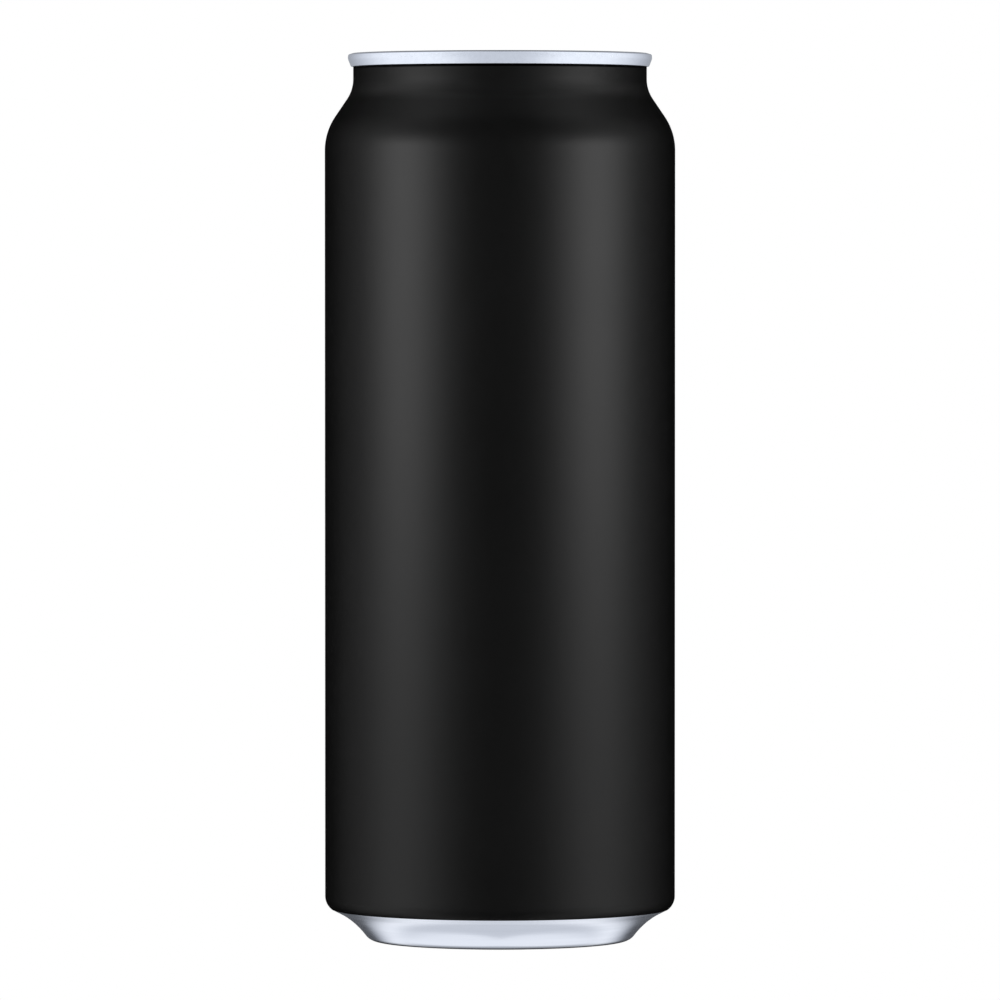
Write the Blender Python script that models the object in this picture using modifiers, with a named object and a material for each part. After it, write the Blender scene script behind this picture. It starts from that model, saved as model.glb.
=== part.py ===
"""A shut half-litre drinks can: a drawn aluminium body with a black coat, a seamed lid and a stay-on tab.

Metres, +Z up. The origin is on the standing plane, under the can's axis, and the pouring side faces -Y.
"""

import math

import bmesh
import bpy
from mathutils import Vector

MM = 0.001
TURN_STEPS = 56
MERGE_DISTANCE = 0.00001

# Sizes of the whole can.
CAN_HEIGHT = 167.8 * MM
BODY_RADIUS = 33.1 * MM
SHEET = 0.22 * MM
GAP = 0.3 * MM

# Base, from the flat foot that the can stands on to the heel where the straight wall starts.
FOOT_RADIUS = 23.3 * MM
FOOT_FLAT = 0.5 * MM
FOOT_OUTER_ROUND = 2.7 * MM
FOOT_INNER_ROUND = 1.3 * MM
WAIST_ROUND = 14.87 * MM
HEEL_ROUND = 3.1 * MM
WAIST_LOW_SLOPE = math.radians(36.9)
WAIST_HIGH_SLOPE = math.radians(63.7)

# Dome pressed up into the base.
DOME_HEIGHT = 10.3 * MM
DOME_ROUND = 44.0 * MM
DOME_EDGE_RADIUS = 20.3 * MM
DOME_EDGE_ROUND = 1.4 * MM

# Shoulder and neck.
SHOULDER_START = 149.4 * MM
SHOULDER_ROUND = 11.5 * MM
SHOULDER_SLOPE = math.radians(34.1)
NECK_ROUND = 6.8 * MM
NECK_RADIUS = 27.73 * MM

# Double seam that holds the lid on the neck.
SEAM_RADIUS = 28.75 * MM
SEAM_HEIGHT = 2.6 * MM
SEAM_BORE = NECK_RADIUS - GAP - 2 * SHEET
SEAM_TOP_ROUND = 0.4 * MM
SEAM_TAPER = 0.45 * MM
SEAM_TAPER_HEIGHT = 1.2 * MM
SEAM_FOOT_ROUND = 0.2 * MM
SEAM_CAP = 0.85 * MM

# Lid inside the seam: a steep wall, a groove all round and a flat panel.
GROOVE_DEPTH = 6.6 * MM
GROOVE_RADIUS = 24.15 * MM
GROOVE_ROUND = 0.5 * MM
WALL_TOP_DEPTH = 1.3 * MM
PANEL_DEPTH = 4.4 * MM
PANEL_RADIUS = 23.4 * MM
PANEL_ROUND = 0.7 * MM

# Raised bead round the tear-open mouth in the panel.
MOUTH_CENTRE = -11.9 * MM
MOUTH_HALF_WIDTH = 10.2 * MM
MOUTH_HALF_LENGTH = 8.3 * MM
MOUTH_CORNER = 7.9 * MM
BEAD_WIDTH = 0.8 * MM
BEAD_HEIGHT = 0.2 * MM

# Raised boss and rivet formed from the panel, which hold the tab.
BOSS_RADIUS = 3.9 * MM
BOSS_FOOT_RADIUS = 4.5 * MM
BOSS_HEIGHT = 0.3 * MM
RIVET_STEM_RADIUS = 1.6 * MM
RIVET_HEAD_RADIUS = 2.7 * MM
RIVET_HEAD_THICKNESS = 0.45 * MM

# Tab: a curled frame round a finger hole, with a thin web that the rivet goes through.
TAB_THICKNESS = 1.1 * MM
TAB_NOSE_CENTRE = -1.2 * MM
TAB_NOSE_RADIUS = 7.9 * MM
TAB_HEEL_CENTRE = 9.6 * MM
TAB_HEEL_RADIUS = 6.9 * MM
TAB_CURL_ROUND = 0.36 * MM
TAB_WEB_THICKNESS = 0.35 * MM
TAB_WEB_OVERLAP = 0.8 * MM
WINDOW_CENTRE = -0.9 * MM
WINDOW_HALF_WIDTH = 4.9 * MM
WINDOW_HALF_LENGTH = 4.7 * MM
WINDOW_CORNER = 3.6 * MM
FINGER_HOLE_CENTRE = 9.9 * MM
FINGER_HOLE_HALF_WIDTH = 4.5 * MM
FINGER_HOLE_HALF_LENGTH = 4.1 * MM
FINGER_HOLE_CORNER = 3.4 * MM
RIVET_HOLE_RADIUS = RIVET_STEM_RADIUS + GAP
SLOT_RADIUS = 3.35 * MM
SLOT_WIDTH = 0.5 * MM
SLOT_SWEEP = math.radians(210)

# Heights that follow from the sizes above.
PANEL_TOP = CAN_HEIGHT - PANEL_DEPTH
BOSS_TOP = PANEL_TOP + BOSS_HEIGHT
TAB_BOTTOM = BOSS_TOP + GAP
WEB_TOP = TAB_BOTTOM + TAB_WEB_THICKNESS
RIVET_HEAD_BOTTOM = WEB_TOP + GAP
RIVET_TOP = RIVET_HEAD_BOTTOM + RIVET_HEAD_THICKNESS


def arc(centre, radius, start, end, steps):
    """Points on an arc in the (radius, height) plane, both ends included."""
    points = []
    for step in range(steps + 1):
        angle = start + (end - start) * step / steps
        points.append((centre[0] + radius * math.cos(angle), centre[1] + radius * math.sin(angle)))
    return points


def filleted(corners, steps):
    """A path through (radius, height, round) corners, with each corner rounded by its own radius."""
    path = [corners[0][:2]]
    for before, corner, after in zip(corners, corners[1:], corners[2:]):
        point = Vector(corner[:2])
        back = (Vector(before[:2]) - point).normalized()
        ahead = (Vector(after[:2]) - point).normalized()
        half = back.angle(ahead) / 2
        centre = point + (back + ahead).normalized() * corner[2] / math.sin(half)
        first = point + back * corner[2] / math.tan(half) - centre
        last = point + ahead * corner[2] / math.tan(half) - centre
        start = math.atan2(first.y, first.x)
        sweep = math.remainder(math.atan2(last.y, last.x) - start, 2 * math.pi)
        path += arc(centre, corner[2], start, start + sweep, steps)
    return path + [corners[-1][:2]]


def offset(path, distance):
    """The path moved sideways, to the right of the way it runs, with its corners kept sharp."""
    moved = []
    for index, point in enumerate(path):
        here = Vector(point)
        before = Vector(path[max(index - 1, 0)])
        after = Vector(path[min(index + 1, len(path) - 1)])
        into = (here - before).normalized() if index else (after - here).normalized()
        out_of = (after - here).normalized() if index < len(path) - 1 else into
        along = (into + out_of).normalized()
        side = Vector((along.y, -along.x))
        moved.append(tuple(here + side * distance / along.dot(into)))
    return moved


def base_path():
    """The outside of the base, from the top of the heel down to the foot that the can stands on."""
    foot_centre = (FOOT_RADIUS, FOOT_OUTER_ROUND)
    foot = arc(foot_centre, FOOT_OUTER_ROUND, -WAIST_LOW_SLOPE, -math.pi / 2, 5)
    joint = foot[0]
    waist_centre = (
        joint[0] + WAIST_ROUND * math.cos(WAIST_LOW_SLOPE),
        joint[1] - WAIST_ROUND * math.sin(WAIST_LOW_SLOPE),
    )
    waist = arc(waist_centre, WAIST_ROUND, math.pi - WAIST_HIGH_SLOPE, math.pi - WAIST_LOW_SLOPE, 4)
    heel_foot = BODY_RADIUS - HEEL_ROUND * (1 - math.cos(WAIST_HIGH_SLOPE))
    rise = (heel_foot - waist[0][0]) / math.tan(WAIST_HIGH_SLOPE)
    heel_centre = (
        BODY_RADIUS - HEEL_ROUND,
        waist[0][1] + rise + HEEL_ROUND * math.sin(WAIST_HIGH_SLOPE),
    )
    heel = arc(heel_centre, HEEL_ROUND, 0, -WAIST_HIGH_SLOPE, 6)
    return heel + waist[:-1] + foot


def neck_path():
    """The outside of the can from the neck, under the seam, down to the straight wall."""
    shoulder_centre = (BODY_RADIUS - SHOULDER_ROUND, SHOULDER_START)
    shoulder = arc(shoulder_centre, SHOULDER_ROUND, SHOULDER_SLOPE, 0, 5)
    bend = NECK_ROUND * (1 - math.cos(SHOULDER_SLOPE))
    bend_foot = NECK_RADIUS + bend
    rise = (shoulder[0][0] - bend_foot) / math.tan(SHOULDER_SLOPE)
    bend_centre = (
        NECK_RADIUS + NECK_ROUND,
        shoulder[0][1] + rise + NECK_ROUND * math.sin(SHOULDER_SLOPE),
    )
    neck = arc(bend_centre, NECK_ROUND, math.pi, math.pi + SHOULDER_SLOPE, 4)
    return neck + shoulder


def dome_path():
    """The underside from the foot's inner edge up the inner wall and over the dome to the axis."""
    foot_edge = FOOT_RADIUS - FOOT_FLAT
    foot = arc((foot_edge, FOOT_INNER_ROUND), FOOT_INNER_ROUND, -math.pi / 2, -math.pi, 3)
    dome_centre = DOME_HEIGHT - DOME_ROUND
    edge_angle = math.acos(DOME_EDGE_RADIUS / DOME_ROUND)
    dome = arc((0, dome_centre), DOME_ROUND, edge_angle, math.pi / 2, 5)
    wall_top = (foot[-1][0], dome[0][1] - DOME_EDGE_ROUND)
    return foot + [wall_top] + dome[:-1] + [(0, DOME_HEIGHT)]


def lid_path():
    """The lid's upper face from the rivet's stem outwards: panel, groove and steep wall up to the seam."""
    groove_bottom = CAN_HEIGHT - GROOVE_DEPTH
    corners = [
        (BOSS_FOOT_RADIUS, PANEL_TOP, 0),
        (PANEL_RADIUS, PANEL_TOP, PANEL_ROUND),
        (GROOVE_RADIUS - GROOVE_ROUND, groove_bottom, GROOVE_ROUND),
        (GROOVE_RADIUS + GROOVE_ROUND, groove_bottom, GROOVE_ROUND),
        (SEAM_BORE, CAN_HEIGHT - WALL_TOP_DEPTH, 0.8 * MM),
        (SEAM_BORE, CAN_HEIGHT - SEAM_TOP_ROUND, 0),
    ]
    boss = [(RIVET_STEM_RADIUS, BOSS_TOP), (BOSS_RADIUS, BOSS_TOP)]
    return boss + filleted(corners, 2)


def turned(name, path, parts, material):
    """A solid turned from a (radius, height) path that runs from the axis, down its outer side, to the axis."""
    mesh = bpy.data.meshes.new(name)
    mesh.from_pydata(
        [(radius, 0, height) for radius, height in path],
        [(index, index + 1) for index in range(len(path) - 1)],
        [],
    )
    obj = bpy.data.objects.new(name, mesh)
    parts.objects.link(obj)
    mesh.materials.append(material)
    screw = obj.modifiers.new("Turn", "SCREW")
    screw.axis = "Z"
    screw.steps = TURN_STEPS
    screw.render_steps = TURN_STEPS
    screw.use_merge_vertices = True
    screw.merge_threshold = MERGE_DISTANCE
    screw.use_smooth_shade = True
    return obj


def make_body(parts, material):
    """The can body, full of drink and so modelled solid, with its top just clear of the lid."""
    under_lid = offset(lid_path(), SHEET + GAP)
    under_lid[0] = (0, under_lid[0][1])
    inside_seam = CAN_HEIGHT - SEAM_CAP - GAP
    under_lid[-1] = (under_lid[-1][0], inside_seam)
    neck_top = (NECK_RADIUS, inside_seam)
    path = under_lid + [neck_top] + neck_path() + base_path() + dome_path()
    return turned("can_body", path, parts, material)


def rivet_path():
    """The rivet from its dished top on the axis, round the head and down the stem."""
    head_round = RIVET_HEAD_THICKNESS / 2
    edge_centre = (RIVET_HEAD_RADIUS - head_round, RIVET_HEAD_BOTTOM + head_round)
    dish = [(0, RIVET_TOP - 0.15 * MM), (RIVET_STEM_RADIUS * 0.7, RIVET_TOP - 0.12 * MM)]
    edge = arc(edge_centre, head_round, math.pi / 2, -math.pi / 2, 4)
    return dish + edge + [(RIVET_STEM_RADIUS, RIVET_HEAD_BOTTOM)]


def seam_path():
    """The double seam from its bore over the top, down the tapered outside and up into the neck's channel."""
    skirt_bore = NECK_RADIUS + GAP
    seam_foot = CAN_HEIGHT - SEAM_HEIGHT
    corners = [
        (SEAM_BORE, CAN_HEIGHT - 2 * SEAM_TOP_ROUND, 0),
        (SEAM_BORE, CAN_HEIGHT, SEAM_TOP_ROUND),
        (SEAM_RADIUS, CAN_HEIGHT, SEAM_TOP_ROUND),
        (SEAM_RADIUS, CAN_HEIGHT - SEAM_TAPER_HEIGHT, 1.6 * MM),
        (SEAM_RADIUS - SEAM_TAPER, seam_foot, SEAM_FOOT_ROUND),
        (skirt_bore, seam_foot, 0),
    ]
    channel = [(skirt_bore, CAN_HEIGHT - SEAM_CAP), (SEAM_BORE + SHEET, CAN_HEIGHT - SEAM_CAP)]
    return filleted(corners, 2)[1:] + channel


def make_lid(parts, cutters, material):
    """The lid: rivet, panel with its mouth bead, groove, steep wall and seam, all one sheet."""
    top = lid_path()
    under = offset(top, SHEET)[-2:0:-1]
    path = rivet_path() + top[:-1] + seam_path() + under + [(0, BOSS_TOP - SHEET)]
    lid = turned("can_lid", path, parts, material)
    bead_sink = SHEET / 2
    half_bead = BEAD_WIDTH / 2
    outlines = [
        rounded_outline(
            MOUTH_CENTRE,
            MOUTH_HALF_WIDTH + side,
            MOUTH_HALF_LENGTH + side,
            MOUTH_CORNER + side,
            6,
        )
        for side in (half_bead, -half_bead)
    ]
    bead = plate("mouth_bead", outlines, PANEL_TOP - bead_sink, BEAD_HEIGHT + bead_sink, cutters)
    join_to(lid, bead)
    return lid


def rounded_outline(centre_y, half_width, half_length, corner, steps):
    """An anticlockwise rectangle with round corners, as (x, y) points."""
    points = []
    for quarter in range(4):
        start = quarter * math.pi / 2
        side_x = 1 if quarter in (0, 3) else -1
        side_y = 1 if quarter in (0, 1) else -1
        centre = (side_x * (half_width - corner), centre_y + side_y * (half_length - corner))
        points += arc(centre, corner, start, start + math.pi / 2, steps)
    return points


def tab_outline():
    """The tab seen from above: two round ends of unlike size joined by straight sides."""
    span = TAB_HEEL_CENTRE - TAB_NOSE_CENTRE
    lean = math.asin((TAB_NOSE_RADIUS - TAB_HEEL_RADIUS) / span)
    heel = arc((0, TAB_HEEL_CENTRE), TAB_HEEL_RADIUS, lean, math.pi - lean, 14)
    nose = arc((0, TAB_NOSE_CENTRE), TAB_NOSE_RADIUS, math.pi - lean, 2 * math.pi + lean, 16)
    return heel + nose


def rivet_slot_outline():
    """The curved slot cut round the rivet's island, open towards the nose."""
    start = math.pi / 2 - SLOT_SWEEP / 2
    end = math.pi / 2 + SLOT_SWEEP / 2
    outer = arc((0, 0), SLOT_RADIUS + SLOT_WIDTH / 2, start, end, 12)
    inner = arc((0, 0), SLOT_RADIUS - SLOT_WIDTH / 2, end, start, 12)
    return outer + inner


def plate(name, outlines, bottom, thickness, collection):
    """A flat plate with holes, as a mesh: the first outline is its edge and the others are holes."""
    curve = bpy.data.curves.new(name, "CURVE")
    curve.dimensions = "2D"
    curve.fill_mode = "BOTH"
    curve.extrude = thickness / 2
    for outline in outlines:
        spline = curve.splines.new("POLY")
        spline.points.add(len(outline) - 1)
        for point, (x, y) in zip(spline.points, outline):
            point.co = (x, y, 0, 1)
        spline.use_cyclic_u = True
    guide = bpy.data.objects.new(name + "_curve", curve)
    guide.location.z = bottom + thickness / 2
    collection.objects.link(guide)
    bpy.context.view_layer.update()
    graph = bpy.context.evaluated_depsgraph_get()
    mesh = bpy.data.meshes.new_from_object(guide.evaluated_get(graph))
    edit = bmesh.new()
    edit.from_mesh(mesh)
    bmesh.ops.remove_doubles(edit, verts=edit.verts, dist=MERGE_DISTANCE)
    bmesh.ops.recalc_face_normals(edit, faces=edit.faces)
    edit.to_mesh(mesh)
    edit.free()
    obj = bpy.data.objects.new(name, mesh)
    obj.matrix_world = guide.matrix_world
    collection.objects.link(obj)
    bpy.data.objects.remove(guide)
    return obj


def join_to(obj, piece):
    """Makes the piece one solid with the object."""
    piece.hide_render = True
    piece.display_type = "WIRE"
    join = obj.modifiers.new("Join " + piece.name, "BOOLEAN")
    join.operation = "UNION"
    join.solver = "EXACT"
    join.object = piece


def make_tab(parts, cutters, material):
    """The tab: a frame with rounded edges, joined to the thin web that lies under the rivet's head."""
    window = rounded_outline(WINDOW_CENTRE, WINDOW_HALF_WIDTH, WINDOW_HALF_LENGTH, WINDOW_CORNER, 5)
    finger_hole = rounded_outline(
        FINGER_HOLE_CENTRE, FINGER_HOLE_HALF_WIDTH, FINGER_HOLE_HALF_LENGTH, FINGER_HOLE_CORNER, 5
    )
    tab = plate("pull_tab", [tab_outline(), window, finger_hole], TAB_BOTTOM, TAB_THICKNESS, parts)
    tab.data.materials.append(material)
    curl = tab.modifiers.new("Curled edges", "BEVEL")
    curl.width = TAB_CURL_ROUND
    curl.segments = 2
    curl.limit_method = "ANGLE"
    curl.angle_limit = math.radians(50)
    web_edge = rounded_outline(
        WINDOW_CENTRE,
        WINDOW_HALF_WIDTH + TAB_WEB_OVERLAP,
        WINDOW_HALF_LENGTH + TAB_WEB_OVERLAP,
        WINDOW_CORNER + TAB_WEB_OVERLAP,
        5,
    )
    rivet_hole = arc((0, 0), RIVET_HOLE_RADIUS, 0, 2 * math.pi * 19 / 20, 19)
    web_outlines = [web_edge, rivet_hole, rivet_slot_outline()]
    web = plate("tab_web", web_outlines, TAB_BOTTOM + 0.02 * MM, TAB_WEB_THICKNESS, cutters)
    join_to(tab, web)
    return tab


def make_material(name, colour, roughness, metallic):
    material = bpy.data.materials.new(name)
    material.use_nodes = True
    shader = material.node_tree.nodes["Principled BSDF"]
    shader.inputs["Base Color"].default_value = (*colour, 1)
    shader.inputs["Roughness"].default_value = roughness
    shader.inputs["Metallic"].default_value = metallic
    return material


def main():
    for obj in list(bpy.data.objects):
        bpy.data.objects.remove(obj)
    parts = bpy.data.collections.new("Drinks can")
    cutters = bpy.data.collections.new("Cutters")
    for collection in (parts, cutters):
        bpy.context.scene.collection.children.link(collection)
    black_coat = make_material("Black coat", (0.012, 0.012, 0.013), 0.4, 0.0)
    bare_metal = make_material("Bare aluminium", (0.80, 0.82, 0.86), 0.25, 1.0)
    make_body(parts, black_coat)
    make_lid(parts, cutters, bare_metal)
    make_tab(parts, cutters, bare_metal)


main()
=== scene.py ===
import math

import bmesh
import bpy
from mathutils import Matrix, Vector


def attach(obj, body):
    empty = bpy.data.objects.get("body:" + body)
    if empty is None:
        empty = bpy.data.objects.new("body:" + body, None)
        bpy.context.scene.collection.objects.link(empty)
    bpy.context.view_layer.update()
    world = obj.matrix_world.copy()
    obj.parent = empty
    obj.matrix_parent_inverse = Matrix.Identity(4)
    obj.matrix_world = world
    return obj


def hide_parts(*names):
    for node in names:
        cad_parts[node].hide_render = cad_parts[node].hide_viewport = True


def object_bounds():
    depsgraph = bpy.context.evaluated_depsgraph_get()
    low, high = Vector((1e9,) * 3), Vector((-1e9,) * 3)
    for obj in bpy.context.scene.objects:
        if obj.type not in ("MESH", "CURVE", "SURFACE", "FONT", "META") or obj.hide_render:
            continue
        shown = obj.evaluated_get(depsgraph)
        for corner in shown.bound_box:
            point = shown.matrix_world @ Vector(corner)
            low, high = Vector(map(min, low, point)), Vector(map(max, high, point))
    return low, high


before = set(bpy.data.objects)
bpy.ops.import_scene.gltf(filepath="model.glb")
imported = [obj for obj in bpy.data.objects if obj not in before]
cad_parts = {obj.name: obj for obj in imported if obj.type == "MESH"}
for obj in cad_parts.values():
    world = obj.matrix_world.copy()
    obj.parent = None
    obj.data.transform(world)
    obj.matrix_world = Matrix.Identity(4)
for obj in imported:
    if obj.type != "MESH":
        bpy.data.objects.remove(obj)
cadLow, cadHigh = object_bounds()
mm = 0.001


def arcPoints(centre, radius, startAngle, endAngle, steps):
    points = []
    for step in range(steps + 1):
        angle = math.radians(startAngle + (endAngle - startAngle) * step / steps)
        points.append((centre[0] + radius * math.cos(angle), centre[1] + radius * math.sin(angle)))
    return points


def roundCorners(corners, steps):
    # corners are (r, z, rounding); the first and last stay as they are
    path = [corners[0][:2]]
    for before, corner, after in zip(corners, corners[1:], corners[2:]):
        point = Vector(corner[:2])
        back = (Vector(before[:2]) - point).normalized()
        ahead = (Vector(after[:2]) - point).normalized()
        half = back.angle(ahead) / 2
        centre = point + (back + ahead).normalized() * corner[2] / math.sin(half)
        first = point + back * corner[2] / math.tan(half) - centre
        last = point + ahead * corner[2] / math.tan(half) - centre
        start = math.degrees(math.atan2(first.y, first.x))
        sweep = math.remainder(math.degrees(math.atan2(last.y, last.x)) - start, 360)
        path += arcPoints(centre, corner[2], start, start + sweep, steps)
    return path + [corners[-1][:2]]


def moveSideways(path, distanceAt):
    # shifts each (r, z) point to the left of the way the path runs, by distanceAt(point)
    moved = []
    for index, point in enumerate(path):
        before = Vector(path[max(index - 1, 0)])
        after = Vector(path[min(index + 1, len(path) - 1)])
        along = (after - before).normalized()
        distance = distanceAt(point)
        moved.append((point[0] - along.y * distance, point[1] + along.x * distance))
    return moved


def smoothStep(low, high, value):
    share = min(max((value - low) / (high - low), 0), 1)
    return share * share * (3 - 2 * share)


def ringOf(radius, height, count):
    if radius < 1e-6:
        return [(0, 0, height)]
    turn = 2 * math.pi / count
    return [
        (radius * math.cos(turn * step), radius * math.sin(turn * step), height)
        for step in range(count)
    ]


def addRings(mesh, rings, closed=False):
    # skins a row of rings, given from the top middle outwards and down; a ring of one point is a pole
    rows = [[mesh.verts.new(Vector(point) * mm) for point in ring] for ring in rings]
    pairs = list(zip(rows, rows[1:]))
    if closed:
        pairs.append((rows[-1], rows[0]))
    for upper, lower in pairs:
        count = max(len(upper), len(lower))
        for step in range(count):
            after = (step + 1) % count
            corners = [
                upper[step % len(upper)],
                lower[step % len(lower)],
                lower[after % len(lower)],
                upper[after % len(upper)],
            ]
            corners = [corner for index, corner in enumerate(corners) if corner not in corners[:index]]
            mesh.faces.new(corners)


def addTurned(mesh, path, count, closed=False):
    addRings(mesh, [ringOf(radius, height, count) for radius, height in path], closed)


def addLoopSweep(mesh, outline, section):
    # carries a closed (inset, z) section round a closed anticlockwise (x, y) outline
    rows = []
    count = len(outline)
    for index, point in enumerate(outline):
        along = (Vector(outline[(index + 1) % count]) - Vector(outline[index - 1])).normalized()
        inward = Vector((-along.y, along.x))
        row = []
        for inset, height in section:
            place = Vector(point) + inward * inset
            row.append(mesh.verts.new(Vector((place.x, place.y, height)) * mm))
        rows.append(row)
    for index, row in enumerate(rows):
        following = rows[(index + 1) % count]
        for step in range(len(section)):
            after = (step + 1) % len(section)
            mesh.faces.new([row[step], following[step], following[after], row[after]])


def addPlate(mesh, outlines, bottom, top):
    # a flat plate; the first outline is its edge and the others are holes
    part = bmesh.new()
    borders = []
    for outline in outlines:
        border = [part.verts.new((x * mm, y * mm, top * mm)) for x, y in outline]
        for index, corner in enumerate(border):
            part.edges.new((corner, border[(index + 1) % len(border)]))
        borders.append(border)
    bmesh.ops.triangle_fill(part, edges=part.edges[:], use_beauty=True, use_dissolve=False)
    below = {corner: part.verts.new((corner.co.x, corner.co.y, bottom * mm)) for corner in part.verts[:]}
    for face in part.faces[:]:
        part.faces.new([below[corner] for corner in reversed(face.verts)])
    for border in borders:
        for index, corner in enumerate(border):
            after = border[(index + 1) % len(border)]
            part.faces.new([corner, after, below[after], below[corner]])
    bmesh.ops.recalc_face_normals(part, faces=part.faces[:])
    scrap = bpy.data.meshes.new("scrap")
    part.to_mesh(scrap)
    part.free()
    mesh.from_mesh(scrap)
    bpy.data.meshes.remove(scrap)


def makePiece(name, mesh, material, sharpAngle=40):
    data = bpy.data.meshes.new(name)
    mesh.to_mesh(data)
    mesh.free()
    data.shade_smooth()
    data.set_sharp_from_angle(angle=math.radians(sharpAngle))
    piece = bpy.data.objects.new(name, data)
    bpy.context.scene.collection.objects.link(piece)
    data.materials.append(material)
    return piece


def newNode(tree, kind, **settings):
    node = tree.nodes.new(kind)
    for key, value in settings.items():
        setattr(node, key, value)
    return node


def mathNode(tree, operation, first, second=None):
    node = newNode(tree, "ShaderNodeMath", operation=operation)
    for socket, value in zip(node.inputs, (first, second)):
        if hasattr(value, "links"):
            tree.links.new(value, socket)
        elif value is not None:
            socket.default_value = value
    return node.outputs[0]


def rangeNode(tree, value, fromLow, fromHigh, toLow, toHigh, interpolation="LINEAR"):
    node = newNode(tree, "ShaderNodeMapRange", interpolation_type=interpolation)
    tree.links.new(value, node.inputs["Value"])
    for name, number in (
        ("From Min", fromLow), ("From Max", fromHigh), ("To Min", toLow), ("To Max", toHigh)
    ):
        node.inputs[name].default_value = number
    return node.outputs["Result"]


def fadeNode(tree, value, edge, atLow, atHigh):
    # goes softly from one level to the other between the two ends of the edge
    return rangeNode(tree, value, *edge, atLow, atHigh, "SMOOTHSTEP")


def curveNode(tree, value, points):
    node = newNode(tree, "ShaderNodeFloatCurve")
    tree.links.new(value, node.inputs["Value"])
    curve = node.mapping.curves[0]
    node.mapping.use_clip = False
    for point, (place, height) in zip(list(curve.points), (points[0], points[-1])):
        point.location = (place, height)
    for place, height in points[1:-1]:
        curve.points.new(place, height)
    for point in curve.points:
        point.handle_type = "AUTO_CLAMPED"
    node.mapping.update()
    return node.outputs[0]


def startGroup(name, inputs, outputs):
    group = bpy.data.node_groups.new(name, "ShaderNodeTree")
    for label, kind, value in inputs:
        socket = group.interface.new_socket(name=label, in_out="INPUT", socket_type=kind)
        if value is not None:
            socket.default_value = value
    for label, kind in outputs:
        group.interface.new_socket(name=label, in_out="OUTPUT", socket_type=kind)
    return group, group.nodes.new("NodeGroupInput"), group.nodes.new("NodeGroupOutput")


def makeMetalLines():
    # fine parallel lines left by rolling, drawing or turning; they run where Stretch is small
    group, given, result = startGroup(
        "metalLines",
        [("Vector", "NodeSocketVector", None), ("Stretch", "NodeSocketVector", (1, 1, 1)),
         ("Depth", "NodeSocketFloat", 1.0)],
        [("Height", "NodeSocketFloat"), ("Tone", "NodeSocketFloat")],
    )
    stretched = newNode(group, "ShaderNodeVectorMath", operation="MULTIPLY")
    group.links.new(given.outputs["Vector"], stretched.inputs[0])
    group.links.new(given.outputs["Stretch"], stretched.inputs[1])
    fine = newNode(group, "ShaderNodeTexNoise")
    fine.inputs["Scale"].default_value = 1.0
    fine.inputs["Detail"].default_value = 3.0
    fine.inputs["Roughness"].default_value = 0.6
    group.links.new(stretched.outputs[0], fine.inputs["Vector"])
    broad = newNode(group, "ShaderNodeTexNoise")
    broad.inputs["Scale"].default_value = 0.17
    broad.inputs["Detail"].default_value = 2.0
    group.links.new(stretched.outputs[0], broad.inputs["Vector"])
    centred = mathNode(group, "SUBTRACT", fine.outputs["Fac"], 0.5)
    group.links.new(mathNode(group, "MULTIPLY", centred, given.outputs["Depth"]), result.inputs["Height"])
    group.links.new(broad.outputs["Fac"], result.inputs["Tone"])
    return group


def makeHandling():
    # soft smudges, as handling leaves on a new can
    group, given, result = startGroup(
        "handling",
        [("Vector", "NodeSocketVector", None), ("Smudge Scale", "NodeSocketFloat", 40.0)],
        [("Smudge", "NodeSocketFloat")],
    )
    smudge = newNode(group, "ShaderNodeTexNoise")
    smudge.inputs["Detail"].default_value = 4.0
    smudge.inputs["Roughness"].default_value = 0.55
    smudge.inputs["Distortion"].default_value = 0.6
    group.links.new(given.outputs["Vector"], smudge.inputs["Vector"])
    group.links.new(given.outputs["Smudge Scale"], smudge.inputs["Scale"])
    group.links.new(rangeNode(group, smudge.outputs["Fac"], 0.35, 0.65, 0, 1), result.inputs["Smudge"])
    return group


metalLines = makeMetalLines()
handling = makeHandling()


def startMaterial(name):
    material = bpy.data.materials.new(name)
    material.use_nodes = True
    tree = material.node_tree
    return material, tree, tree.nodes["Principled BSDF"], newNode(tree, "ShaderNodeTexCoord")


def placeGroup(tree, group, vector, **values):
    node = newNode(tree, "ShaderNodeGroup", node_tree=group)
    tree.links.new(vector, node.inputs["Vector"])
    for label, value in values.items():
        node.inputs[label.replace("_", " ")].default_value = value
    return node


def blendColours(tree, factor, first, second):
    node = newNode(tree, "ShaderNodeMix", data_type="RGBA")
    tree.links.new(factor, node.inputs[0])
    for socket, value in ((node.inputs[6], first), (node.inputs[7], second)):
        if hasattr(value, "links"):
            tree.links.new(value, socket)
        else:
            socket.default_value = (*value, 1)
    return node.outputs[2]


def bumpNode(tree, height, distance):
    node = newNode(tree, "ShaderNodeBump")
    node.inputs["Distance"].default_value = distance
    tree.links.new(height, node.inputs["Height"])
    return node.outputs["Normal"]


lacquer = {
    "colour": (0.0020, 0.0020, 0.0021),
    "smudgeColour": (0.0026, 0.0026, 0.0028),
    "roughness": 0.35,
    "smudgeScale": 28.0,
    "smudgeRoughness": 0.02,   # added by smudges
    "neckRoughness": 0.08,     # added where the top was drawn in
    "neckedHeight": (0.150, 0.160),
    "lineHeight": 0.000004,
    "lineStretch": (2200, 2200, 60),
    "specularLevel": 0.41,
    "glazeRoughness": 0.38,
    # weight of the clear glaze over the black, by millimetres below the rim's top; its weak band just under
    # the seam is painted shade and its rise round the neck's bend is a painted highlight, while further
    # down it is the wall's even glaze
    "glazeAndPaintedNeckSheen": (
        (0.0, 0.0), (3.0, 0.0), (4.6, 0.02), (5.6, 0.13), (6.4, 0.43), (7.2, 0.73), (7.9, 0.63),
        (8.7, 0.33), (9.4, 0.18), (10.0, 0.18),
    ),
    "paintedSeamShade": (2.92, 3.0),    # millimetres below the rim, down to which the lacquer reflects nothing: a painted shade line under the seam
}


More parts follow.
